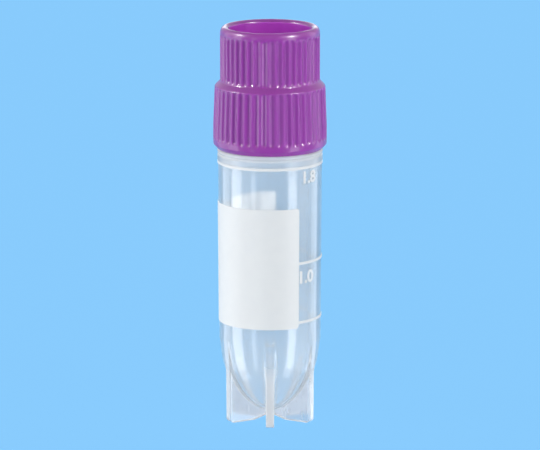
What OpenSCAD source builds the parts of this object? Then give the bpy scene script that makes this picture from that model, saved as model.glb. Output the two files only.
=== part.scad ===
// Screw-cap cryogenic vial of the 2 ml size, with a star foot and an outside thread.
// Millimetres. +Z is up, the foot stands on z = 0 and the tube's axis is the Z axis.
// The -Y side is the front, where the writing patch faces the reader.

/* [Tube] */
// Height of the tube's rim above the foot
rim_z = 41.4; // [41:0.1:41.6]
// Height of the shoulder where the neck starts
shoulder_z = 33.1; // [32.9:0.1:33.2]
// Height where the straight wall ends and the slope to the rounded end starts
wall_z = 10; // [9.9:0.1:10]
// Outer radius at the lower end of the straight wall
wall_r_low = 6.12; // [6:0.01:6.2]
// Outer radius at the shoulder
wall_r_high = 6.26; // [6.2:0.01:6.29]
// Radius of the collar band under the cap
collar_r = 6.3; // [6.3:0.01:6.5]
// Height of the collar band
collar_h = 1.25; // [0.5:0.05:1.25]
// Radius of the collar's rounded upper edge
collar_edge_r = 0.25; // [0.1:0.05:0.3]
// Bore radius at the lower end of the straight wall
bore_r_low = 4.65; // [4.4:0.01:4.7]
// Bore radius at the rim
bore_r_high = 4.75; // [4.7:0.01:4.8]

/* [Rounded end] */
// Radius that the arc at the rounded end's side would have at its widest
end_r = 5.95; // [5.9:0.01:6]
// Height of that arc's centre
end_z = 9.3; // [9.2:0.1:9.4]
// Radius of that arc
end_arc_r = 9.2; // [9:0.1:9.3]
// Angle of the slope from the straight wall to that arc
end_lean = 8; // [7:0.5:9]
// Height of the rounded end's lowest point
end_tip_z = 1.05; // [0.95:0.05:1.15]
// Radius of the arc that forms the side of the bore's rounded bottom
bore_arc_r = 11.5; // [11.2:0.1:11.8]
// Height of the bore's lowest point
bore_tip_z = 1.7; // [1.6:0.05:2.2]

/* [Star foot] */
// Number of fins
fin_count = 6; // [3:1:8]
// Radius of the foot that the fins stand on
foot_r = 5.85; // [5.6:0.05:5.9]
// Thickness of a fin at the foot
fin_t_low = 0.97; // [0.8:0.01:1]
// Thickness of a fin at its top
fin_t_high = 1.15; // [1:0.01:1.3]
// Radius of the rounded corner at a fin's foot
foot_corner_r = 0.55; // [0.3:0.05:0.9]
// Radius inside which the fins' feet rise off the ground
foot_inner_r = 2.5; // [2:0.1:3.2]
// Radius of the level middle of the star
foot_hub_r = 0.8; // [0.5:0.1:1.2]
// Clear height under the middle of the star
foot_arch_h = 0.45; // [0.3:0.01:0.6]

/* [Neck] */
// Outer radius of the neck between the thread's turns
neck_r = 5.4; // [5.3:0.01:5.5]
// Outer radius of the plain rim above the thread
rim_r = 5.05; // [5:0.01:5.1]
// Height of the plain rim
rim_h = 1.15; // [1:0.05:1.3]

/* [Thread] */
// Rise of the cap in one turn
thread_lead = 3; // [2.8:0.1:3]
// Turns of thread on the neck and in the cap
thread_turns = 1.5; // [1:0.25:1.5]
// Radius of the crest of the neck's thread
thread_r = 5.8; // [5.75:0.01:5.82]
// Radius of the crest of the cap's thread
cap_thread_r = 5.52; // [5.5:0.01:5.6]
// Width of a thread's crest, along the axis
crest_w = 0.5; // [0.4:0.05:0.6]
// Width that each flank of a thread adds at its root
flank_w = 0.35; // [0.3:0.05:0.4]
// Gap between the flanks that bear on each other when the cap is closed
thread_play = 0.06; // [0.04:0.01:0.1]

/* [Cap] */
// Height of the cap's top edge, which is the height of the whole vial
cap_top_z = 47.85; // [47.5:0.05:48.5]
// Gap between the tube's shoulder and the closed cap
cap_gap = 0.15; // [0.1:0.05:0.4]
// Largest radius of the skirt
skirt_r = 6.78; // [6.7:0.01:7]
// Radius at the top of the skirt, which leans in by the mould's draft
skirt_r_top = 6.6; // [6.55:0.01:6.7]
// Radius of the narrower upper grip
grip_r = 5.95; // [5.9:0.01:6.05]
// Height where the skirt ends and the slope to the upper grip starts
skirt_top_z = 40.75; // [40.7:0.05:41]
// Height where that slope ends
grip_z = 41.4; // [41.3:0.05:41.9]
// Radius of the thread's groove inside the skirt
socket_r = 5.92; // [5.9:0.01:5.95]
// Radius of the pocket that the sealing ring sits in
pocket_r = 5.2; // [5.15:0.01:5.25]
// Thickness of the wall between the pocket and the recess
web_t = 1.3; // [1:0.1:1.5]
// Radius of the recess in the cap's top, which takes a colour insert
recess_r = 4.93; // [4.8:0.01:5]
// Radius of the circle that the cap's top edge runs round
rim_crest_r = 5.43; // [5.3:0.01:5.5]
// Drop of the rounded edge outside that circle
rim_drop = 0.8; // [0.6:0.05:1]
// Drop of the rounded edge inside it
rim_drop_in = 0.45; // [0.3:0.05:0.5]

/* [Grip ribs] */
// Number of ribs round each grip
rib_count = 44; // [36:1:46]
// Radius of the groove between two ribs
flute_r = 0.27; // [0.22:0.01:0.28]
// Depth of that groove
flute_depth = 0.22; // [0.15:0.01:0.24]
// Angle from the front to the nearest groove's axis
rib_turn = 2; // [0:0.5:8]

/* [Sealing ring] */
// Thickness of the ring
ring_t = 0.8; // [0.6:0.05:0.85]
// Radius of the hole in the ring
ring_hole_r = 4.1; // [3.5:0.1:4.4]

/* [Print] */
// Thickness of the printed ink
ink_t = 0.04; // [0.03:0.01:0.06]
// Height of the writing patch's lower edge
patch_z = 12.2; // [11:0.1:14]
// Height of the writing patch
patch_h = 14.6; // [12:0.1:15]
// Angle that the writing patch covers
patch_angle = 221.7; // [200:0.1:240]
// Angle from the front to the patch's right-hand edge
patch_edge_angle = 33.8; // [20:0.1:45]
// Radius of the patch's corners
patch_corner_r = 0.4; // [0.3:0.05:0.8]
// Width of a graduation line
line_w = 0.33; // [0.25:0.01:0.4]
// Heights of the 0.5 ml, 1 ml and 1.8 ml lines
line_z = [12.9, 20.1, 31.65]; // [0:0.05:33]

/* [Hidden] */
$fn = 96;
eps = 0.01;                                  // how far a cutter runs past the face that it opens
arc_steps = 14;                              // straight steps in a quarter or less of an arc
tip_turn = 85;                               // angle at which a rounded end's ball gives way to its flat
fin_top_z = wall_z - 0.8;                    // top of a fin, inside the slope of the wall
front = -90;                                 // direction of the front, from +X
patch_right = front + patch_edge_angle;      // direction of the patch's right-hand edge
gap_angle = 360 - patch_angle;               // unprinted angle behind the patch
neck_chamfer = neck_r - rim_r;               // slope from the neck in to its plain rim
cap_z = shoulder_z + cap_gap;                // the closed cap's lower edge
ceiling_z = rim_z + ring_t;                  // underside of the cap's web
recess_z = ceiling_z + web_t;                // floor of the recess
skirt_straight_z = cap_z + 2.75;             // where the skirt starts to lean in
skirt_chamfer = 0.5;                         // width of the slope under the skirt
skirt_chamfer_h = 0.55;                      // height of that slope
socket_chamfer = 0.15;                       // bevel round the mouth of the socket
socket_top_z = skirt_top_z - 0.55;           // top of the threaded part of the socket
thread_depth = thread_r - neck_r + 0.1;      // a ridge's full depth, 0.1 of it inside the wall
thread_steps = 30;                           // flats in one turn of a thread
thread_fade = 40;                            // angle over which a thread's end runs out
neck_thread_z = shoulder_z + 1.6;            // height of the neck's thread where it starts, at the front
cap_thread_start = 120;                      // angle of thread left out at the socket's mouth
// How far the cap's thread lies under the neck's, so that their flanks all but touch when it is closed.
thread_seat = crest_w + flank_w * (thread_r - cap_thread_r) / thread_depth + thread_play;
grip_flutes = [grip_z, cap_top_z - rim_drop];        // lower and upper end of the grip's grooves
skirt_flutes = [cap_z + 1.1, skirt_top_z + 0.1];     // and of the skirt's
flute_offset = flute_r - flute_depth;        // how far outside the surface a groove's axis lies
flute_fn = 24;                               // facets of a groove's round section
trim_depth = 1;                              // how far the solids that trim the ink reach either side of it

// Points of an arc, from angle a to angle b.
function arc(cx, cz, r, a, b) =
    [for (i = [0 : arc_steps]) let (t = a + (b - a) * i / arc_steps) [cx + r * cos(t), cz + r * sin(t)]];

// Points of a quarter of an ellipse that is w wide and h high, from angle a to angle b.
function quarter(cx, cz, w, h, a, b) =
    [for (p = arc(0, 0, 1, a, b)) [cx + w * p[0], cz + h * p[1]]];

// Half outline of a rounded end: a side arc whose widest point has the radius r and the height z,
// from the point where it leans by the angle lean, and a ball tangent to it that would come to its
// lowest point at tip_z, less a small flat.
function rounded_end(r, z, side_r, tip_z, lean = 0) =
    let (h = z - tip_z, d = side_r - r,
         ball_r = (side_r * side_r - d * d - h * h) / (2 * (side_r - h)),
         turn = atan2(h - ball_r, d),
         flat_z = tip_z + ball_r - ball_r * sin(tip_turn))
    concat(arc(r - side_r, z, side_r, -lean, -turn), arc(0, tip_z + ball_r, ball_r, -turn, -tip_turn),
           [[0, flat_z]]);

// Outer radius of the tube's wall at a height.
function wall_r(z) = wall_r_low + (wall_r_high - wall_r_low) * (z - wall_z) / (shoulder_z - wall_z);

// A thread: a ridge of trapezium section swept up a right-hand helix, from an angle past the front.
// The helix passes height z at the front. The ridge's foot is at foot_r and its crest at crest_r,
// and it runs out into the wall that carries it at both ends.
module thread(foot_r, crest_r, z, start) {
    steps = ceil(thread_turns * thread_steps);
    sweep = thread_turns * 360;
    inward = crest_r < foot_r;
    section = function(t)
        let (rise = min(1, 0.1 + t / thread_fade, 0.1 + (sweep - t) / thread_fade),
             r = foot_r + (crest_r - foot_r) * rise,
             a = front + start + t,
             m = z + thread_lead * (start + t) / 360,
             c = crest_w / 2)
        [for (q = [[foot_r, -c - flank_w], [r, -c], [r, c], [foot_r, c + flank_w]])
            [q[0] * cos(a), q[0] * sin(a), m + q[1]]];
    sides = [for (i = [0 : steps - 1], k = [0 : 3])
        let (a = 4 * i + k, b = 4 * i + (k + 1) % 4) [a, b, b + 4, a + 4]];
    ends = [[3, 2, 1, 0], [for (k = [0 : 3]) 4 * steps + k]];
    faces = [for (f = concat(sides, ends)) inward ? [for (i = [len(f) - 1 : -1 : 0]) f[i]] : f];
    polyhedron([for (i = [0 : steps]) each section(sweep * i / steps)], faces, convexity = 6);
}

// Half outline of the tube's outside, from the rim down to the tip of the rounded end.
module tube_outline() {
    polygon(concat(
        [[0, rim_z], [rim_r, rim_z], [rim_r, rim_z - rim_h], [neck_r, rim_z - rim_h - neck_chamfer],
         [neck_r, shoulder_z]],
        arc(collar_r - collar_edge_r, shoulder_z - collar_edge_r, collar_edge_r, 90, 0),
        [[collar_r, shoulder_z - collar_h], [wall_r(shoulder_z - collar_h), shoulder_z - collar_h],
         [wall_r_low, wall_z]],
        rounded_end(end_r, end_z, end_arc_r, end_tip_z, end_lean)));
}

// Half outline of the bore.
module bore_outline() {
    polygon(concat(
        [[0, rim_z + eps], [bore_r_high, rim_z + eps]],
        rounded_end(bore_r_low, wall_z, bore_arc_r, bore_tip_z)));
}

// Side view of one fin, from the axis outwards.
module fin_outline() {
    polygon(concat(
        [[0, foot_arch_h], [foot_hub_r, foot_arch_h], [foot_inner_r, 0]],
        arc(foot_r - foot_corner_r, foot_corner_r, foot_corner_r, -90, 0),
        [[foot_r, fin_top_z], [0, fin_top_z]]));
}

// End view of one fin: it thickens upwards by the mould's draft.
module fin_section() {
    polygon([[-fin_t_low / 2, 0], [fin_t_low / 2, 0], [fin_t_high / 2, fin_top_z], [-fin_t_high / 2, fin_top_z]]);
}

module fin() {
    intersection() {
        translate([0, fin_t_high, 0]) rotate([90, 0, 0]) linear_extrude(2 * fin_t_high) fin_outline();
        rotate([90, 0, 90]) linear_extrude(wall_r_low) fin_section();
    }
}

module vial_tube() {
    color([0.86, 0.92, 0.95])
        difference() {
            union() {
                rotate_extrude() tube_outline();
                for (i = [0 : fin_count - 1]) rotate(front + i * 360 / fin_count) fin();
                thread(thread_r - thread_depth, thread_r, neck_thread_z, 0);
            }
            rotate_extrude() bore_outline();
        }
}

// Half outline of the cap, without its thread and the grooves between its ribs.
module cap_outline() {
    polygon(concat(
        [[0, ceiling_z], [pocket_r, ceiling_z], [pocket_r, skirt_top_z], [socket_r, socket_top_z],
         [socket_r, cap_z + socket_chamfer], [socket_r + socket_chamfer, cap_z],
         [skirt_r - skirt_chamfer, cap_z], [skirt_r, cap_z + skirt_chamfer_h],
         [skirt_r, skirt_straight_z], [skirt_r_top, skirt_top_z], [grip_r, grip_z]],
        quarter(rim_crest_r, cap_top_z - rim_drop, grip_r - rim_crest_r, rim_drop, 0, 90),
        quarter(rim_crest_r, cap_top_z - rim_drop_in, rim_crest_r - recess_r, rim_drop_in, 90, 180),
        [[recess_r, recess_z], [0, recess_z]]));
}

// A groove between two ribs: a round bar with ball ends, between the two heights in z,
// leaning from radius r0 at the lower one to r1 at the upper one.
module flute(z, r0, r1) {
    height = z[1] - z[0];
    length = norm([r1 - r0, height]);
    translate([r0 + flute_offset, 0, z[0]]) rotate([0, atan2(r1 - r0, height), 0])
        rotate_extrude($fn = flute_fn) intersection() {
            union() {
                translate([0, flute_r]) circle(flute_r, $fn = flute_fn);
                translate([0, length - flute_r]) circle(flute_r, $fn = flute_fn);
                translate([-flute_r, flute_r]) square([2 * flute_r, length - 2 * flute_r]);
            }
            square([flute_r, length]);
        }
}

module screw_cap() {
    color([0.58, 0.33, 0.68])
        difference() {
            union() {
                rotate_extrude() cap_outline();
                thread(cap_thread_r + thread_depth, cap_thread_r, neck_thread_z - thread_seat, cap_thread_start);
            }
            for (i = [0 : rib_count - 1]) rotate(front + rib_turn + i * 360 / rib_count) {
                flute(grip_flutes, grip_r, grip_r);
                flute(skirt_flutes, skirt_r, skirt_r_top);
            }
        }
}

module sealing_ring() {
    color([0.93, 0.93, 0.9])
        translate([0, 0, rim_z]) difference() {
            cylinder(r = pocket_r - 0.02, h = ring_t);
            translate([0, 0, -eps]) cylinder(r = ring_hole_r, h = ring_t + 2 * eps);
        }
}

// A skin of ink on the wall, from height z and h high, over an angle that starts at direction a.
module ink(z, h, a, angle) {
    rotate(a) rotate_extrude(angle = angle)
        polygon([[wall_r(z), z], [wall_r(z) + ink_t, z], [wall_r(z + h) + ink_t, z + h], [wall_r(z + h), z + h]]);
}

// A thick band round the wall, which trims the ink.
module band(z, h, a, angle) {
    rotate(a) rotate_extrude(angle = angle) translate([wall_r_low - trim_depth, z]) square([2 * trim_depth, h]);
}

module writing_patch() {
    c = patch_corner_r;
    ca = c / wall_r(patch_z) * 180 / PI;
    disc_r = c * 1.06;                       // so that a corner's disc crosses the patch's edges
    start = patch_right - patch_angle;
    color([0.9, 0.93, 0.95])
        intersection() {
            ink(patch_z, patch_h, start, patch_angle);
            union() {
                band(patch_z + c, patch_h - 2 * c, start - ca, patch_angle + 2 * ca);
                band(patch_z - c, patch_h + 2 * c, start + ca, patch_angle - 2 * ca);
                for (a = [start + ca, start + patch_angle - ca], z = [patch_z + c, patch_z + patch_h - c])
                    rotate(a) translate([wall_r_low - trim_depth, 0, z]) rotate([0, 90, 0])
                        cylinder(r = disc_r, h = 2 * trim_depth, $fn = 32);
            }
        }
}

module graduation_marks() {
    color([0.96, 0.97, 0.98]) {
        for (z = [line_z[0], line_z[1]]) ink(z - line_w / 2, line_w, patch_right, gap_angle);
        ink(line_z[2] - line_w / 2, line_w, 0, 360);
    }
}

vial_tube();
screw_cap();
sealing_ring();
writing_patch();
graduation_marks();
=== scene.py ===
import math

import bmesh
import bpy
import numpy as np
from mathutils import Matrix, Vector


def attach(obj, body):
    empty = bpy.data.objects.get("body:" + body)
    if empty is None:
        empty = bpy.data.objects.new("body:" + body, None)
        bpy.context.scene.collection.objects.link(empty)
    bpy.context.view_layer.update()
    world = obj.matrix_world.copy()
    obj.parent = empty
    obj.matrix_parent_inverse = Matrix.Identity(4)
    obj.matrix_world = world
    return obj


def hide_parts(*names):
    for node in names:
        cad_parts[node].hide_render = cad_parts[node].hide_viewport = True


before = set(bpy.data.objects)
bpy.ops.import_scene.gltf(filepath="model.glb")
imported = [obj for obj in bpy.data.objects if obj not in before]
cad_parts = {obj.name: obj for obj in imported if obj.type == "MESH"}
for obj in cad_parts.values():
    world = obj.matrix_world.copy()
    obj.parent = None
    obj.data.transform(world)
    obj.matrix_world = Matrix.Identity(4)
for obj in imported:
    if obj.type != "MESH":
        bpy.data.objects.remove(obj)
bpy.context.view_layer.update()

MM = 0.001

# ---- Stage and camera, in metres ----

SKY = (0.251, 0.604, 0.991, 1)   # pale blue of the floor and the backdrop, linear
WHITE = (1, 1, 1, 1)
FILL = (0.82, 0.9, 1.0, 1)       # tint of the light that comes back up from the floor
TENT = 0.34                      # white of the studio's tent above the floor, as fill light
TENT_SEEN = 0.85                 # the same where gloss and clear plastic show it
TENT_FROM, TENT_FULL = -0.05, 0.25   # how far up a ray points where the tent begins, and where it is full
FLOOR_GLOW = 0.9                 # how much of the floor's blue is its own, so that it looks evenly lit
FLOOR_LEVEL = 1.035              # brightness of that own blue
FLOOR_HALF = 3.0
CAM_DISTANCE = 0.5
CAM_ELEVATION = math.radians(12.0)
SENSOR_MM = 36
FRAME_WIDTH = 0.06475            # what the picture's width takes in at the vial's axis
LOOK_AT = Vector((0, 0, 0.02372))


def link(obj):
    bpy.context.scene.collection.objects.link(obj)
    return obj


def node_of(tree, kind, **inputs):
    node = tree.nodes.new(kind)
    for name, value in inputs.items():
        node.inputs[name.replace("_", " ")].default_value = value
    return node


def calculated(tree, operation, *values):
    """A Math node's output. Each value is a number or another node's output."""
    node = tree.nodes.new("ShaderNodeMath")
    node.operation = operation
    for socket, value in zip(node.inputs, values):
        if isinstance(value, float):
            socket.default_value = value
        else:
            tree.links.new(value, socket)
    return node.outputs[0]


def light_path(tree, *kinds):
    """The largest of the named Light Path outputs."""
    path = tree.nodes.new("ShaderNodeLightPath")
    most = path.outputs[kinds[0]]
    for kind in kinds[1:]:
        most = calculated(tree, "MAXIMUM", most, path.outputs[kind])
    return most


def mix_shaders(tree, factor, first, second):
    """The factor is a number or another node's output."""
    mix = tree.nodes.new("ShaderNodeMixShader")
    if isinstance(factor, float):
        mix.inputs[0].default_value = factor
    else:
        tree.links.new(factor, mix.inputs[0])
    tree.links.new(first, mix.inputs[1])
    tree.links.new(second, mix.inputs[2])
    return mix.outputs[0]


def floor_material():
    """Pale blue paper that takes the vial's shadow. Only the camera sees it: gloss, clear plastic and
    the fill light look through it to the studio's own blue and to the lamps, which reach below it."""
    mat = bpy.data.materials.new("stage_blue")
    mat.use_nodes = True
    tree = mat.node_tree
    tree.nodes.clear()
    out = tree.nodes.new("ShaderNodeOutputMaterial")
    diffuse = node_of(tree, "ShaderNodeBsdfDiffuse", Color=SKY).outputs[0]
    glow = node_of(tree, "ShaderNodeEmission", Color=SKY, Strength=FLOOR_LEVEL).outputs[0]
    clear = tree.nodes.new("ShaderNodeBsdfTransparent").outputs[0]
    lit = mix_shaders(tree, FLOOR_GLOW, diffuse, glow)
    tree.links.new(mix_shaders(tree, light_path(tree, "Is Camera Ray"), clear, lit), out.inputs[0])
    return mat


def make_floor():
    mesh = bpy.data.meshes.new("floor")
    s = FLOOR_HALF
    mesh.from_pydata([(-s, -s, 0), (s, -s, 0), (s, s, 0), (-s, s, 0)], [], [(0, 1, 2, 3)])
    mesh.materials.append(floor_material())
    floor = link(bpy.data.objects.new("floor", mesh))


def make_studio():
    """The world: blue to the camera. Gloss and clear plastic show blue below and a white tent above, and its
    fill light is a weaker white, tinted below."""
    world = bpy.data.worlds.new("studio")
    bpy.context.scene.world = world
    world.use_nodes = True
    tree = world.node_tree
    tree.nodes.clear()
    out = tree.nodes.new("ShaderNodeOutputWorld")

    def background(color, strength):
        return node_of(tree, "ShaderNodeBackground", Color=color, Strength=strength).outputs[0]

    blue = background(SKY, 1.0)
    way = tree.nodes.new("ShaderNodeTexCoord")
    split = tree.nodes.new("ShaderNodeSeparateXYZ")
    rise = node_of(tree, "ShaderNodeMapRange", From_Min=TENT_FROM, From_Max=TENT_FULL)
    rise.interpolation_type = "SMOOTHSTEP"
    tree.links.new(way.outputs["Generated"], split.inputs[0])
    tree.links.new(split.outputs["Z"], rise.inputs["Value"])
    seen = light_path(tree, "Is Camera Ray", "Is Glossy Ray", "Is Transmission Ray")
    below = mix_shaders(tree, seen, background(FILL, TENT), blue)
    above = mix_shaders(tree, seen, background(WHITE, TENT), background(WHITE, TENT_SEEN))
    tent = mix_shaders(tree, rise.outputs[0], below, above)
    tree.links.new(mix_shaders(tree, light_path(tree, "Is Camera Ray"), tent, blue), out.inputs[0])


def make_camera():
    data = bpy.data.cameras.new("camera")
    data.sensor_width = SENSOR_MM
    data.lens = SENSOR_MM * CAM_DISTANCE / FRAME_WIDTH
    data.clip_start, data.clip_end = 0.01, 20
    cam = link(bpy.data.objects.new("camera", data))
    back = Vector((0, -math.cos(CAM_ELEVATION), math.sin(CAM_ELEVATION)))
    cam.location = LOOK_AT + back * CAM_DISTANCE
    cam.rotation_mode = "QUATERNION"
    cam.rotation_quaternion = back.to_track_quat("Z", "Y")
    bpy.context.scene.camera = cam


# ---- Lamps ----

FAR = 0.6                        # how far most lamps stand from the vial
STRIP_H, EDGE_H = 0.8, 0.85      # heights of the strips, and of the lamps that light an edge


def lamp(name, azimuth, elevation, width, height, power, distance=FAR, gloss=True, wash=True):
    """A soft box aimed at the middle of the vial. Azimuth 0 is on the camera's side.
    Without gloss no highlight shows it; without wash it makes nothing but highlights."""
    a, e = math.radians(azimuth), math.radians(elevation)
    way = Vector((math.sin(a) * math.cos(e), -math.cos(a) * math.cos(e), math.sin(e)))
    data = bpy.data.lights.new(name, "AREA")
    data.shape = "RECTANGLE"
    data.size, data.size_y = width, height
    data.energy = power
    obj = link(bpy.data.objects.new(name, data))
    obj.location = LOOK_AT + way * distance
    obj.rotation_mode = "QUATERNION"
    obj.rotation_quaternion = way.to_track_quat("Z", "Y")
    obj.visible_camera = False
    obj.visible_transmission = False
    obj.visible_glossy = gloss
    obj.visible_diffuse = wash
    obj.visible_volume_scatter = wash
    return obj


def only_for(obj, *lamps):
    """Makes the lamps light just the one object."""
    group = bpy.data.collections.new(obj.name + "_light")
    group.objects.link(obj)
    for each in lamps:
        each.light_linking.receiver_collection = group


def strip(name, azimuth, width, power):
    """A tall lamp whose streak on the wall goes on round the vial's end, by a weak lamp below it."""
    lamp(name, azimuth, -4, width, STRIP_H, power)
    lamp(name + "_end", azimuth, -44, width * 0.8, 0.16, power * 0.07)


def make_lights(tube, cap, label):
    strip("left_strip", -80, width=0.3, power=2.5)
    strip("right_strip", 51, width=0.22, power=2.05)
    lamp("middle_strip", -37, -6, width=0.1, height=EDGE_H, power=0.5, wash=False)
    lamp("left_edge", -114, 0, width=0.3, height=EDGE_H, power=1.1, wash=False)
    only_for(tube, lamp("right_side", 84, -4, width=0.4, height=EDGE_H, power=0.8, wash=False))
    lamp("right_edge", 116, 0, width=0.26, height=EDGE_H, power=1.0, wash=False)
    lamp("front_panel", -8, 42, width=0.5, height=0.4, power=1.15, distance=0.7, gloss=False)
    lamp("back_panel", 180, 8, width=0.7, height=0.8, power=1.0, distance=0.7, gloss=False)
    only_for(cap, *(lamp(name, azimuth, 34, width=0.045, height=0.045, power=power, wash=False)
                    for name, azimuth, power in (("left_spark", -84, 3.8), ("right_spark", 56, 4.8))))
    # from inside the tube, onto the back of the ink that wraps round behind
    only_for(label, lamp("label_fill", 25, 0, width=0.006, height=0.016, power=0.0058, distance=0.003,
                         gloss=False))
    lamp("back_glow", 180, 11, width=0.5, height=0.05, power=0.3, distance=0.8, wash=False)


# ---- Sizes: named as in the part's source, in mm ----

FRONT = -90.0                    # direction of the front, in degrees from +X

# tube: heights of the rim, the collar's top and the wall's foot, then the wall and bore, which lean out
RIM_Z, SHOULDER_Z, WALL_Z = 41.4, 33.1, 10.0
WALL_R_LOW, WALL_R_HIGH = 6.12, 6.26
BORE_R_LOW, BORE_R_HIGH = 4.65, 4.75
COLLAR_R, COLLAR_H, COLLAR_EDGE_R = 6.3, 1.25, 0.25
NECK_R, RIM_R, RIM_H = 5.4, 5.05, 1.15
NECK_CHAMFER = NECK_R - RIM_R    # slope from the neck in to its plain rim

# tube's end, whose side is an arc that starts with a lean, and the bore's
END_R, END_Z, END_ARC_R, END_LEAN, END_TIP_Z = 5.95, 9.3, 9.2, 8.0, 1.05
BORE_ARC_R, BORE_TIP_Z = 11.5, 1.7

# star foot
FIN_COUNT, FOOT_R, FIN_T_LOW, FIN_T_HIGH, FIN_TOP_Z = 6, 5.85, 0.97, 1.15, WALL_Z - 0.8
FOOT_CORNER_R, FOOT_INNER_R, FOOT_HUB_R, FOOT_ARCH_H = 0.55, 2.5, 0.8, 0.45

# threads of the neck and the cap
THREAD_LEAD, THREAD_TURNS, THREAD_R, CAP_THREAD_R = 3.0, 1.5, 5.8, 5.52
CREST_W, FLANK_W, THREAD_PLAY = 0.5, 0.35, 0.06
NECK_THREAD_Z, CAP_THREAD_START, THREAD_FADE = SHOULDER_Z + 1.6, 120.0, 40.0
THREAD_DEPTH = THREAD_R - NECK_R + 0.1   # a ridge's full depth in the part, 0.1 of it inside the wall
# how far the cap's thread lies under the neck's, so that their flanks all but touch when it is closed
THREAD_SEAT = CREST_W + FLANK_W * (THREAD_R - CAP_THREAD_R) / THREAD_DEPTH + THREAD_PLAY

# cap, from its foot up, and the ring in its pocket
CAP_GAP, CAP_TOP_Z, WEB_T = 0.15, 47.85, 1.3
CAP_Z = SHOULDER_Z + CAP_GAP
SKIRT_R, SKIRT_R_TOP, GRIP_R = 6.78, 6.6, 5.95
SKIRT_STRAIGHT_Z, SKIRT_TOP_Z, GRIP_Z = CAP_Z + 2.75, 40.75, 41.4
POCKET_R, RING_T, RING_HOLE_R = 5.2, 0.8, 4.1
SOCKET_R, SOCKET_TOP_Z = 5.92, SKIRT_TOP_Z - 0.55
CEILING_Z = RIM_Z + RING_T       # underside of the cap's web
RECESS_R, RECESS_Z = 4.93, CEILING_Z + WEB_T
RIM_CREST_R, RIM_DROP, RIM_DROP_IN = 5.43, 0.8, 0.45
RIB_COUNT, RIB_TURN, FLUTE_DEPTH = 44, 2.0, 0.22

INK_T = 0.04                     # thickness of the printed ink

# ---- Sizes that only the picture's shells have, in mm ----

SHOULDER_UP = 0.11               # how far the shell's shoulder closes the gap under the cap
UNDER_INK = 0.005                # what the shell stays clear of the ink on it
GROOVE_TOP, GROOVE_FOOT, GROOVE_DEPTH = 0.38, 0.7, 0.1   # round the collar, down from the shoulder
FIN_CORNER_R, FIN_FILLET = 0.17, 0.34
FOOT_BEVEL = 0.13                # rounding of the fins' lower edges
NO_WALL_R = -0.4                 # the wall's radius under the tip: so small that it leaves the fins no fillet
# how far the fins' outer edges lean out, and the height and length of the stretch where they do
FIN_LEAN, FIN_LEAN_Z, FIN_LEAN_H = 0.2, 6, 3
# how far from a corner its rounding starts: on the neck and the ring, then on and in the cap and its recess
CORNER, CAP_CORNER, SOCKET_CORNER, RECESS_CORNER = 0.12, 0.14, 0.08, 0.25
# a flute's half width at most, and the share of its pitch that it may take
FLUTE_HALF, FLUTE_SHARE = 0.43, 0.98
ON_AXIS = 0.02                   # radius of the small hole that a flat face closes at the axis
CREASE = 40.0                    # degrees between two faces that make their edge a sharp one
# how milky a fin is on its sides and at its outer edge, for the front fin and for the others, and its foot
FRONT_FIN_FROST, FIN_FROST, FOOT_FROST = (0.2, 0.95), (0.12, 0.12), 0.15
# how milky the neck is at heights from the shoulder: the collar most of all
FROST_Z, FROST = (-1.4, -1.1, -0.7, -0.5, 0.12, 0.3), (0, 0.4, 0.4, 1, 1, 0)
# numerals: the type, how many degrees right of the front it starts, its foot's height, its width and height
NUMERALS = [("1.8", 39.2, 29.7, 2.15, 1.52), ("1.0", 34.8, 17.6, 2.3, 1.58)]
TYPE_WEIGHT = 0.04               # how much bolder than the plain type
BEND_STEP = 0.12                 # width of the strips that a numeral bends in

# ---- How fine the meshes are: points around, and mm from loop to loop ----

HALF = 30                        # steps from the middle of a fin to the middle of a gap
TUBE_COUNT = 2 * FIN_COUNT * HALF
PER_RIB = 10
CAP_COUNT = RIB_COUNT * PER_RIB
RING_COUNT = 192
FINE, SLOPE_FINE, SLOPE, FLAT, PLAIN, BORE_STEP = 0.17, 0.13, 0.25, 0.7, 1.5, 1.6


# ---- Outlines ----

def smooth_object(name, lathe, body, node):
    """A mesh from points in mm, shaded smooth but for its sharp edges, that stands for a CAD node."""
    mesh = bpy.data.meshes.new(name)
    mesh.from_pydata((np.asarray(lathe.verts) * MM).tolist(), [], lathe.faces)
    mesh.update()
    bm = bmesh.new()
    bm.from_mesh(mesh)
    bmesh.ops.recalc_face_normals(bm, faces=bm.faces)
    limit = math.radians(CREASE)
    for edge in bm.edges:
        edge.smooth = len(edge.link_faces) == 2 and edge.calc_face_angle(0) < limit
    for face in bm.faces:
        face.smooth = True
    bm.to_mesh(mesh)
    bm.free()
    for key, values in lathe.looks.items():
        mesh.attributes.new(key, "FLOAT", "POINT").data.foreach_set("value", [float(v) for v in values])
    obj = link(bpy.data.objects.new(name, mesh))
    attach(obj, body)
    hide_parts(node)
    return obj


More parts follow.
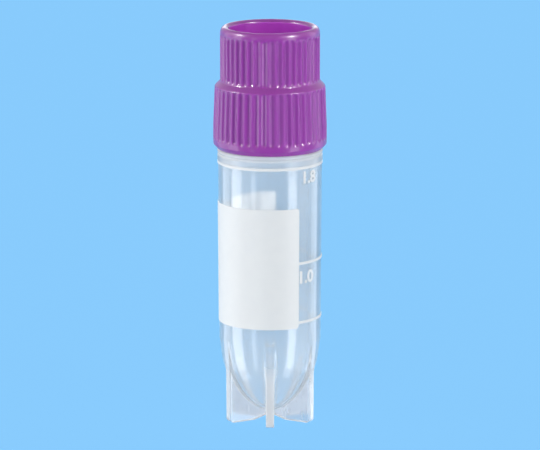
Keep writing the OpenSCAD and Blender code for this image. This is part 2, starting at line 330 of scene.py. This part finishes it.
class Lathe:
    """A mesh in the making, of loops around the axis that all have the same count of points.
    Its looks are values that each point keeps for the material, by name, and 0 where none is given."""

    def __init__(self, count, start, *looks, scale=1.0):
        self.count, self.scale = count, scale
        self.past = np.arange(count) * 360 / count      # degrees past the start
        self.turn = np.radians(start + self.past)
        self.verts, self.loops, self.faces = [], [], []
        self.looks = {name: [] for name in looks}

    def add(self, x, y, z, **looks):
        self.loops.append(len(self.verts))
        self.verts.extend(np.stack([x * self.scale, y * self.scale, np.broadcast_to(z, x.shape)], axis=1))
        for name, values in self.looks.items():
            values.extend(np.broadcast_to(looks.get(name, 0.0), x.shape))

    def add_round(self, radius, z, **looks):
        """A loop whose points are evenly spread, at one radius or at one each."""
        self.add(radius * np.cos(self.turn), radius * np.sin(self.turn), z, **looks)

    def add_tip(self, z):
        """A point on the axis that closes the last loop."""
        tip, last = len(self.verts), self.loops[-1]
        self.verts.append((0, 0, z))
        for values in self.looks.values():
            values.append(0.0)
        self.faces += [(last + i, last + (i + 1) % self.count, tip) for i in range(self.count)]

    def bridge(self, a, b):
        """Quads between two loops, which start at points a and b."""
        n = self.count
        self.faces += [(a + i, a + (i + 1) % n, b + (i + 1) % n, b + i) for i in range(n)]


def neighbours(items):
    return zip(items[:-1], items[1:])


def arc(cx, cz, r, a, b, steps):
    t = np.radians(np.linspace(a, b, steps + 1))
    return np.stack([cx + r * np.cos(t), cz + r * np.sin(t)], axis=1)


def quarter(cx, cz, w, h, a, b, steps=12):
    """Points of a quarter of an ellipse that is w wide and h high."""
    return arc(0, 0, 1, a, b, steps) * (w, h) + (cx, cz)


def rounded_end(r, z, side_r, tip_z, lean, side_steps, ball_steps):
    """Half outline of a rounded end, from where its side arc leans by the angle lean to just off its tip."""
    h, d = z - tip_z, side_r - r
    ball_r = (side_r ** 2 - d ** 2 - h ** 2) / (2 * (side_r - h))
    turn = math.degrees(math.atan2(h - ball_r, d))
    side = arc(r - side_r, z, side_r, -lean, -turn, side_steps)
    ball = arc(0, tip_z + ball_r, ball_r, -turn, -88, ball_steps)
    return np.concatenate([side, ball[1:]])


def stepped(points, step):
    """A line of points, with more put in so that none is further than step from the next."""
    out = [points[0]]
    for p, q in neighbours(points):
        n = max(1, math.ceil(math.dist(p, q) / step))
        out += [(p[0] + (q[0] - p[0]) * k / n, p[1] + (q[1] - p[1]) * k / n) for k in range(1, n + 1)]
    return np.array(out)


def eased(points, radius, steps=4):
    """A line of points with each inner corner rounded."""
    out = [points[0]]
    for p, q, s in zip(points[:-2], points[1:-1], points[2:]):
        p, q, s = np.array(p), np.array(q), np.array(s)
        u, v = p - q, s - q
        lu, lv = np.linalg.norm(u), np.linalg.norm(v)
        cut = min(radius, 0.45 * lu, 0.45 * lv)
        a, b = q + u / lu * cut, q + v / lv * cut
        for k in range(steps + 1):
            t = k / steps
            out.append((1 - t) ** 2 * a + 2 * t * (1 - t) * q + t ** 2 * b)
    out.append(points[-1])
    return np.array(out)


def thread_form(z, angle, start_z, start, depth):
    """How far a thread stands off its wall at heights z and at angles past the front."""
    total = THREAD_TURNS * 360
    out = np.zeros(np.broadcast(z, angle).shape)
    for k in range(-1, 4):
        t = angle + 360 * k - start
        centre = start_z + THREAD_LEAD * (t + start) / 360
        fade = np.clip(np.minimum(t, total - t) / THREAD_FADE, 0, 1)
        off = np.abs(z - centre)
        form = np.clip((CREST_W / 2 + FLANK_W - off) / FLANK_W, 0, 1)
        form = form * form * (3 - 2 * form)
        out = np.maximum(out, depth * form * np.where((t >= 0) & (t <= total), fade, 0))
    return out


# ---- Tube ----

RIM_MIDDLE = (RIM_R + BORE_R_HIGH) / 2


def wall_r(z):
    return WALL_R_LOW + (WALL_R_HIGH - WALL_R_LOW) * (z - WALL_Z) / (SHOULDER_Z - WALL_Z)


def star_half(wall, t, edge):
    """Section of a round wall with fins, from the middle of a fin to the middle of the gap beside it.

    Gives the angle and radius of HALF + 1 points, closer together where the outline turns."""
    rays, halvings, reach = 1600, 40, 1.2
    turn_weight, turn_most = 0.45, 0.3
    theta = np.linspace(0, math.pi / FIN_COUNT, rays)
    c, s = np.cos(theta), np.sin(theta)
    half_x, half_y = edge - FIN_CORNER_R, t / 2 - FIN_CORNER_R

    def depth(r):
        """How far a radius is outside the section, with the fin's roots filled."""
        x, y = r * c - half_x, np.abs(r * s) - half_y
        inner = np.minimum(np.maximum(x, y), 0)
        fin = np.hypot(np.maximum(x, 0), np.maximum(y, 0)) + inner - FIN_CORNER_R
        ball = r - wall
        h = np.maximum(FIN_FILLET - np.abs(fin - ball), 0) / FIN_FILLET
        return np.minimum(fin, ball) - h * h * FIN_FILLET / 4

    end = np.where(s * edge < c * half_y, edge / c, edge)
    low = np.maximum(max(wall, 0.0), np.minimum(end, (t / 2) / np.maximum(s, 1e-6)) - FIN_CORNER_R)
    high = np.full_like(theta, edge + reach)
    for _ in range(halvings):
        mid = (low + high) / 2
        outside = depth(mid) > 0
        high = np.where(outside, mid, high)
        low = np.where(outside, low, mid)
    r = (low + high) / 2
    dx, dy = np.diff(r * c), np.diff(r * s)
    heading = np.unwrap(np.arctan2(dy, dx))
    turn = np.abs(np.diff(heading, prepend=heading[0]))
    stretch = np.hypot(dx, dy) + turn_weight * np.minimum(turn, turn_most)
    weight = np.concatenate([[0], np.cumsum(stretch)])
    number = np.arange(rays)
    at = np.interp(np.linspace(0, weight[-1], HALF + 1), weight, number)
    return np.interp(at, number, theta), np.interp(at, number, r)


def star_loop(wall, t, edge):
    """A whole section: x and y of TUBE_COUNT points, the first at the front."""
    theta, r = star_half(wall, t, edge)
    angles, radii = [], []
    for k in range(FIN_COUNT):
        mid = math.radians(FRONT) + k * 2 * math.pi / FIN_COUNT
        after = mid + 2 * math.pi / FIN_COUNT
        angles += [*(mid + theta[:-1]), *(after - theta[:0:-1])]
        radii += [*r[:-1], *r[:0:-1]]
    angles, radii = np.array(angles), np.array(radii)
    return radii * np.cos(angles), radii * np.sin(angles)


def foot_z(r):
    """Height of a fin's underside at a distance from the axis."""
    arch = FOOT_ARCH_H * np.clip((FOOT_INNER_R - r) / (FOOT_INNER_R - FOOT_HUB_R), 0, 1)
    over = np.clip((r - FOOT_R) / FOOT_CORNER_R + 1, 0, 1)
    return arch + FOOT_CORNER_R * (1 - np.sqrt(1 - over * over))


def fin_looks(x, y, wall):
    """How milky the fins are and how much painted shade darkens them, from 0 to 1: painted shade on their
    sides, milky at their outer edges and most of all at the front fin's."""
    r = np.hypot(x, y)
    fin = np.clip((r - wall - 0.2) / 0.3, 0, 1)
    edge = np.clip((r - FOOT_R + 0.4) / 0.3, 0, 1) * np.clip((FOOT_R - wall) / 0.4, 0, 1)
    front = (np.abs(x) < 0.7) & (y < -1)
    on_side, on_edge = (np.where(front, ahead, other) for ahead, other in zip(FRONT_FIN_FROST, FIN_FROST))
    # the second value marks painted shade on the fins' sides
    return {"frost": on_side * fin + on_edge * edge, "grey": fin * (1 - edge)}


def neck_outline():
    """From the rim's middle down the neck, over the collar with its groove, and down the wall."""
    top, collar_foot = SHOULDER_Z + SHOULDER_UP, SHOULDER_Z - COLLAR_H
    wall_foot = WALL_Z + 0.4
    groove_r = COLLAR_R - GROOVE_DEPTH
    edge = [*arc(COLLAR_R - COLLAR_EDGE_R, top - COLLAR_EDGE_R, COLLAR_EDGE_R, 90, 0, 6),
            (COLLAR_R, top - GROOVE_TOP), (groove_r, top - GROOVE_TOP - 0.08),
            (groove_r + 0.01, top - GROOVE_FOOT + 0.1), (COLLAR_R, top - GROOVE_FOOT)]
    line = eased([(RIM_MIDDLE, RIM_Z), (RIM_R, RIM_Z), (RIM_R, RIM_Z - RIM_H),
                  (NECK_R, RIM_Z - RIM_H - NECK_CHAMFER), (NECK_R, top), *edge,
                  (COLLAR_R - 0.01, collar_foot), (wall_r(collar_foot), collar_foot),
                  (wall_r(wall_foot), wall_foot)], CORNER)
    upper = line[line[:, 1] > collar_foot - 0.2]
    return np.concatenate([stepped(upper, FINE), stepped(line[len(upper) - 1:], PLAIN)[1:]])


def end_outline():
    """From the wall's foot down the slope and round the tube's end, to just off its tip."""
    end = rounded_end(END_R, END_Z, END_ARC_R, END_TIP_Z, END_LEAN, 36, 12)
    wall_foot = WALL_Z + 0.25
    return np.concatenate([stepped([(wall_r(wall_foot), wall_foot), (WALL_R_LOW, WALL_Z)], SLOPE_FINE),
                           stepped([(WALL_R_LOW, WALL_Z), tuple(end[0])], SLOPE)[1:-1], end])


def bore_outline():
    """From the rim's middle down the bore, to just off its tip."""
    under_rim = (BORE_R_HIGH - 0.003, RIM_Z - 1.2)
    return np.concatenate([
        eased([(RIM_MIDDLE, RIM_Z), (BORE_R_HIGH, RIM_Z), under_rim], 0.1)[1:],
        stepped([under_rim, (BORE_R_LOW, WALL_Z)], BORE_STEP)[1:-1],
        rounded_end(BORE_R_LOW, WALL_Z, BORE_ARC_R, BORE_TIP_Z, 0, 22, 14)])


def add_foot(lathe, tip_z):
    """The fins below the tube's tip, their rounded lower edges and their flat undersides."""
    steps = 4
    for k in range(1, steps + 1):
        left = 1 - k / steps
        x, y = star_loop(NO_WALL_R * k / steps, FIN_T_LOW + 0.02 * left, FOOT_R)
        floor = foot_z(np.hypot(x, y)) + FOOT_BEVEL
        lathe.add(x, y, np.maximum(floor + (tip_z - floor) * left, floor), **fin_looks(x, y, 0))
    for k in range(1, steps + 1):
        a = math.radians(90 * k / steps)
        inset = FOOT_BEVEL * (1 - math.cos(a))
        x, y = star_loop(NO_WALL_R, FIN_T_LOW - 2 * inset, FOOT_R - inset)
        z = foot_z(np.hypot(x, y) + inset) + FOOT_BEVEL * (1 - math.sin(a))
        lathe.add(x, y, z, frost=np.maximum(fin_looks(x, y, 0)["frost"], FOOT_FROST))
    for a, b in neighbours(lathe.loops):
        lathe.bridge(b, a)

    # strips across each fin between mirrored points, and a middle where the fins meet
    def point(fin, i):
        return lathe.loops[-1] + (fin * 2 * HALF + i) % lathe.count

    for fin in range(FIN_COUNT):
        lathe.faces.append((point(fin, -1), point(fin, 0), point(fin, 1)))
        lathe.faces += [(point(fin, -i - 1), point(fin, -i), point(fin, i), point(fin, i + 1))
                        for i in range(1, HALF)]
    lathe.faces.append(tuple(point(fin, HALF) for fin in reversed(range(FIN_COUNT))))


def add_bore(lathe):
    first = len(lathe.loops)
    for r, z in bore_outline():
        lathe.add_round(r, z)
    lathe.bridge(lathe.loops[0], lathe.loops[first])
    for a, b in neighbours(lathe.loops[first:]):
        lathe.bridge(a, b)
    lathe.add_tip(z - 0.001)


def make_tube():
    lathe = Lathe(TUBE_COUNT, FRONT, "frost", "grey", scale=1 - UNDER_INK / WALL_R_LOW)
    for r, z in neck_outline():
        radius = r
        if SHOULDER_Z + 0.2 < z < RIM_Z - RIM_H - 0.2:
            radius = r + thread_form(z, lathe.past, NECK_THREAD_Z, 0.0, THREAD_R - NECK_R)
        lathe.add_round(radius, z, frost=np.interp(z - SHOULDER_Z, FROST_Z, FROST))
    for r, z in end_outline():
        t = FIN_T_LOW + (FIN_T_HIGH - FIN_T_LOW) * z / FIN_TOP_Z
        lean = FIN_LEAN * min(1, max(0, (z - FIN_LEAN_Z) / FIN_LEAN_H))
        x, y = star_loop(r, t, FOOT_R + lean)
        floor = foot_z(np.hypot(x, y)) + FOOT_BEVEL
        lathe.add(x, y, np.maximum(z, floor), **fin_looks(x, y, r))
    add_foot(lathe, z)
    add_bore(lathe)
    return smooth_object("tube_shell", lathe, "tube", "vial_tube")


# ---- Cap and ring ----

def flute_depth(x, over, half_width):
    """Depth of a groove at x across it and over past its end's centre, as a fraction of its full depth."""
    rho = np.minimum(np.hypot(x, np.maximum(over, 0)) / half_width, 1)
    return (0.5 + 0.5 * np.cos(math.pi * rho)) ** 0.85


def cap_outside():
    """From the skirt's foot up over both tiers and the rim, down into the recess and to its middle."""
    rim_out = quarter(RIM_CREST_R, CAP_TOP_Z - RIM_DROP, GRIP_R - RIM_CREST_R, RIM_DROP, 0, 90)
    rim_in = quarter(RIM_CREST_R, CAP_TOP_Z - RIM_DROP_IN, RIM_CREST_R - RECESS_R, RIM_DROP_IN, 90, 180)
    outside = np.concatenate([
        eased([(SOCKET_R + 0.15, CAP_Z), (SKIRT_R - 0.5, CAP_Z), (SKIRT_R, CAP_Z + 0.55),
               (SKIRT_R, SKIRT_STRAIGHT_Z), (SKIRT_R_TOP, SKIRT_TOP_Z), (GRIP_R, GRIP_Z),
               (GRIP_R, CAP_TOP_Z - RIM_DROP)], CAP_CORNER),
        rim_out[1:], rim_in[1:]])
    recess = eased([rim_in[-1], (RECESS_R - 0.01, RECESS_Z), (RECESS_R - 1.5, RECESS_Z), (ON_AXIS, RECESS_Z)],
                   RECESS_CORNER)
    return np.concatenate([stepped(outside, FINE), stepped(recess, FLAT)[1:]])


def cap_inside():
    """From the skirt's foot up the socket and the ring's pocket to the middle of the ceiling."""
    line = eased([(SOCKET_R + 0.15, CAP_Z), (SOCKET_R, CAP_Z + 0.15), (SOCKET_R, SOCKET_TOP_Z),
                  (POCKET_R, SKIRT_TOP_Z), (POCKET_R, CEILING_Z), (ON_AXIS, CEILING_Z)], SOCKET_CORNER)
    threaded = line[:, 1] < SOCKET_TOP_Z + 0.2
    return np.concatenate([stepped(line[threaded], FINE), stepped(line[~threaded], PLAIN)])


def fluted(r, z, phase):
    """Radii of a loop outside the cap. The phase goes from -0.5 to 0.5 across each flute."""
    x = phase * 2 * math.pi * r / RIB_COUNT
    half = min(FLUTE_HALF, FLUTE_SHARE * math.pi * r / RIB_COUNT)
    radius = np.full(len(phase), r)
    for low, high in ((CAP_Z + 1.1, SKIRT_TOP_Z + 0.1), (GRIP_Z, CAP_TOP_Z - RIM_DROP)):
        over = max(low + half - z, z - (high - half))
        radius = radius - FLUTE_DEPTH * flute_depth(x, over, half)
    return radius


def make_cap():
    lathe = Lathe(CAP_COUNT, FRONT + RIB_TURN, "deep")
    phase = (np.arange(CAP_COUNT) + PER_RIB // 2) % PER_RIB / PER_RIB - 0.5
    for r, z in cap_outside():
        radius = fluted(r, z, phase) if r > GRIP_R - 0.25 else r
        # painted light: points inside the recess are marked for a lighter purple that stands in for light
        in_recess = r < RECESS_R + 0.02
        lathe.add_round(radius, z, deep=float(in_recess))
    for a, b in neighbours(lathe.loops):
        lathe.bridge(a, b)
    lathe.faces.append(tuple(lathe.loops[-1] + i for i in range(CAP_COUNT)))

    first = len(lathe.loops)
    for r, z in cap_inside()[1:]:
        radius = r
        if CAP_Z + 0.3 < z < SOCKET_TOP_Z - 0.1:
            radius = r - thread_form(z, lathe.past + RIB_TURN, NECK_THREAD_Z - THREAD_SEAT, CAP_THREAD_START,
                                     SOCKET_R - CAP_THREAD_R)
        lathe.add_round(radius, z)
    lathe.bridge(lathe.loops[first], lathe.loops[0])
    for a, b in neighbours(lathe.loops[first:]):
        lathe.bridge(b, a)
    lathe.faces.append(tuple(lathe.loops[-1] + i for i in reversed(range(CAP_COUNT))))
    return smooth_object("cap_shell", lathe, "cap", "screw_cap")


def make_ring():
    lathe = Lathe(RING_COUNT, 0.0)
    out_r, low, high = POCKET_R - 0.02, RIM_Z, CEILING_Z
    middle = (RING_HOLE_R, (low + high) / 2)
    outline = eased([middle, (RING_HOLE_R, low), (out_r, low), (out_r, high), (RING_HOLE_R, high), middle],
                    CORNER, 5)
    for r, z in outline[:-1]:
        lathe.add_round(r, z)
    for a, b in neighbours([*lathe.loops, lathe.loops[0]]):
        lathe.bridge(a, b)
    return smooth_object("seal_shell", lathe, "seal", "sealing_ring")


# ---- Numerals ----

def flat_type(text):
    """A mesh of plain type, lying flat."""
    curve = bpy.data.curves.new("type", "FONT")
    curve.body = text
    curve.offset = TYPE_WEIGHT
    flat = link(bpy.data.objects.new("type", curve))
    bpy.context.view_layer.update()
    mesh = bpy.data.meshes.new_from_object(flat.evaluated_get(bpy.context.evaluated_depsgraph_get()))
    bpy.data.objects.remove(flat)
    return mesh


def fitted(values, size):
    """Values moved and scaled to run from 0 to size."""
    return (values - values.min()) / np.ptp(values) * size


def make_numerals():
    """The plain numerals beside the 1.8 and 1 ml lines, as flat type bent round the wall."""
    bm = bmesh.new()
    for text, angle, low, width, height in NUMERALS:
        mesh = flat_type(text)
        across = fitted(np.array([v.co.x for v in mesh.vertices]), width)
        up = fitted(np.array([v.co.y for v in mesh.vertices]), height)
        for v, u, h in zip(mesh.vertices, across, up):
            v.co = (u + math.radians(FRONT + angle) * WALL_R_HIGH, h + low, 0)
        bm.from_mesh(mesh)
    xs = [v.co.x for v in bm.verts]
    for k in range(1, int((max(xs) - min(xs)) / BEND_STEP) + 1):
        geometry = bm.verts[:] + bm.edges[:] + bm.faces[:]
        cut = (min(xs) + BEND_STEP * k, 0, 0)
        bmesh.ops.bisect_plane(bm, geom=geometry, plane_co=cut, plane_no=(1, 0, 0))
    for v in bm.verts:
        r = wall_r(v.co.y) + INK_T
        a = v.co.x / WALL_R_HIGH
        v.co = Vector((r * math.cos(a), r * math.sin(a), v.co.y)) * MM
    mesh = bpy.data.meshes.new("numerals")
    bm.to_mesh(mesh)
    bm.free()
    mesh.polygons.foreach_set("use_smooth", [True] * len(mesh.polygons))
    obj = link(bpy.data.objects.new("numerals", mesh))
    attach(obj, "tube")
    return obj


# ---- Materials ----

CAP_PURPLES = (0.292, 0.032, 0.34), (0.304, 0.035, 0.355)
RECESS_PAINTED_LIGHT_PURPLE = (0.53, 0.072, 0.61)     # painted light: a lighter purple inside the recess, standing in for the light that it swallows
# painted shade: the second colour darkens the fins' sides and stands in for less light on them
TUBE_CLEAR, TUBE_PAINTED_SHADE = (0.95, 0.96, 0.97), (0.76, 0.76, 0.78)
INK_WHITES = (0.86, 0.89, 0.92), (0.875, 0.905, 0.935)
RING_WHITES = (0.78, 0.78, 0.74), (0.83, 0.83, 0.8)
NOISE_SPREAD = (0.3, 0.7)               # where most of a noise's values lie
SCATTER, ABSORB, AHEAD = 210.0, 40.0, 0.35   # the plastic's haze, for each metre, and how far it looks ahead


def principled(name, **inputs):
    mat = bpy.data.materials.new(name)
    mat.use_nodes = True
    shader = mat.node_tree.nodes["Principled BSDF"]
    for key, value in inputs.items():
        shader.inputs[key.replace("_", " ")].default_value = value
    return mat


def wire(mat, **links):
    tree = mat.node_tree
    for key, value in links.items():
        tree.links.new(value, tree.nodes["Principled BSDF"].inputs[key.replace("_", " ")])


def attribute(mat, name):
    """A value that each point of the mesh keeps."""
    node = mat.node_tree.nodes.new("ShaderNodeAttribute")
    node.attribute_name = name
    return node.outputs["Fac"]


def noise(mat, scale, detail, stretch=(1, 1, 1)):
    """Noise in the object's own metres; scale is how many spots go to a metre."""
    tree = mat.node_tree
    where = tree.nodes.new("ShaderNodeTexCoord")
    place = node_of(tree, "ShaderNodeMapping", Scale=stretch)
    grain = node_of(tree, "ShaderNodeTexNoise", Scale=scale, Detail=detail, Roughness=0.55)
    tree.links.new(where.outputs["Object"], place.inputs[0])
    tree.links.new(place.outputs[0], grain.inputs["Vector"])
    return grain.outputs["Fac"]


def ranged(mat, value, low, high, spread=NOISE_SPREAD):
    """Maps the spread of a value to the range from low to high."""
    tree = mat.node_tree
    remap = node_of(tree, "ShaderNodeMapRange", From_Min=spread[0], From_Max=spread[1], To_Min=low,
                    To_Max=high)
    tree.links.new(value, remap.inputs["Value"])
    return remap.outputs[0]


def between(mat, factor, first, second):
    """A colour between two, by a factor. The first may be another node's output."""
    tree = mat.node_tree
    mix = tree.nodes.new("ShaderNodeMix")
    mix.data_type = "RGBA"
    if isinstance(first, tuple):
        mix.inputs["A"].default_value = (*first, 1)
    else:
        tree.links.new(first, mix.inputs["A"])
    mix.inputs["B"].default_value = (*second, 1)
    tree.links.new(factor, mix.inputs["Factor"])
    return mix.outputs["Result"]


def bumped(mat, height, depth):
    """A bump of the given depth in metres."""
    tree = mat.node_tree
    bump = node_of(tree, "ShaderNodeBump", Strength=1.0, Distance=depth)
    tree.links.new(height, bump.inputs["Height"])
    return bump.outputs["Normal"]


def cap_material():
    mat = principled("cap_purple", Specular_IOR_Level=0.3, Coat_Weight=0.4, Coat_Roughness=0.09,
                     Subsurface_Weight=0.5, Subsurface_Radius=(1.0, 0.3, 0.8), Subsurface_Scale=0.001)
    cloud = ranged(mat, noise(mat, scale=220, detail=2), 0, 1)
    purple = between(mat, cloud, *CAP_PURPLES)
    # painted light: the recess gets a lighter purple in place of the light that it lacks
    wire(mat, Base_Color=between(mat, attribute(mat, "deep"), purple, RECESS_PAINTED_LIGHT_PURPLE),
         Roughness=ranged(mat, noise(mat, scale=1100, detail=2), 0.285, 0.345),
         Normal=bumped(mat, noise(mat, scale=3000, detail=2, stretch=(1, 1, 0.4)), 0.0000015))
    return mat


def tube_material():
    """Clear plastic with a slight haze inside. Frost makes it rougher, duller and less clear."""
    mat = principled("tube_polypropylene", IOR=1.49, Coat_Roughness=0.17, Coat_IOR=1.5)
    tree = mat.node_tree
    frost = attribute(mat, "frost")
    smooth = ranged(mat, noise(mat, scale=700, detail=3, stretch=(1, 1, 0.25)), 0.1, 0.16)
    # painted shade: a darker base colour on the fins' sides stands in for less light on them
    wire(mat, Base_Color=between(mat, attribute(mat, "grey"), TUBE_CLEAR, TUBE_PAINTED_SHADE),
         Roughness=calculated(tree, "MULTIPLY_ADD", calculated(tree, "SQRT", frost), 0.35, smooth),
         Transmission_Weight=ranged(mat, frost, 0.94, 0.58, spread=(0, 1)),
         Coat_Weight=ranged(mat, frost, 1.0, 0.2, spread=(0, 1)),
         Normal=bumped(mat, noise(mat, scale=350, detail=3, stretch=(1, 1, 0.12)), 0.00002))
    scatter = node_of(tree, "ShaderNodeVolumeScatter", Color=WHITE, Density=SCATTER, Anisotropy=AHEAD)
    absorb = node_of(tree, "ShaderNodeVolumeAbsorption", Color=(0, 0, 0, 1), Density=ABSORB)
    haze = tree.nodes.new("ShaderNodeAddShader")
    tree.links.new(scatter.outputs[0], haze.inputs[0])
    tree.links.new(absorb.outputs[0], haze.inputs[1])
    tree.links.new(haze.outputs[0], tree.nodes["Material Output"].inputs["Volume"])
    return mat


def ink_material():
    mat = principled("white_ink", Specular_IOR_Level=0.5, Subsurface_Weight=1.0,
                     Subsurface_Radius=(1, 1, 1), Subsurface_Scale=0.00002)
    cloud = ranged(mat, noise(mat, scale=900, detail=5), 0, 1)
    wire(mat, Base_Color=between(mat, cloud, *INK_WHITES),
         Roughness=ranged(mat, noise(mat, scale=2500, detail=3), 0.4, 0.52),
         Normal=bumped(mat, noise(mat, scale=9000, detail=2), 0.000005))
    return mat


def ring_material():
    mat = principled("silicone")
    cloud = ranged(mat, noise(mat, scale=800, detail=3), 0, 1)
    wire(mat, Base_Color=between(mat, cloud, *RING_WHITES),
         Roughness=ranged(mat, noise(mat, scale=2000, detail=3), 0.42, 0.58))
    return mat


def dress(obj, mat):
    obj.data.materials.clear()
    obj.data.materials.append(mat)


# ---- The scene ----

make_floor()
make_studio()
make_camera()
tube = make_tube()
tube.visible_shadow = False      # lamplight goes through the clear plastic
dress(tube, tube_material())
cap = make_cap()
dress(cap, cap_material())
make_lights(tube, cap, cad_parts["writing_patch"])
dress(make_ring(), ring_material())
white = ink_material()
dress(make_numerals(), white)
dress(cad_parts["writing_patch"], white)
dress(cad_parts["graduation_marks"], white)
bpy.context.scene.view_settings.view_transform = "Standard"
bpy.context.scene.cycles.volume_bounces = 1
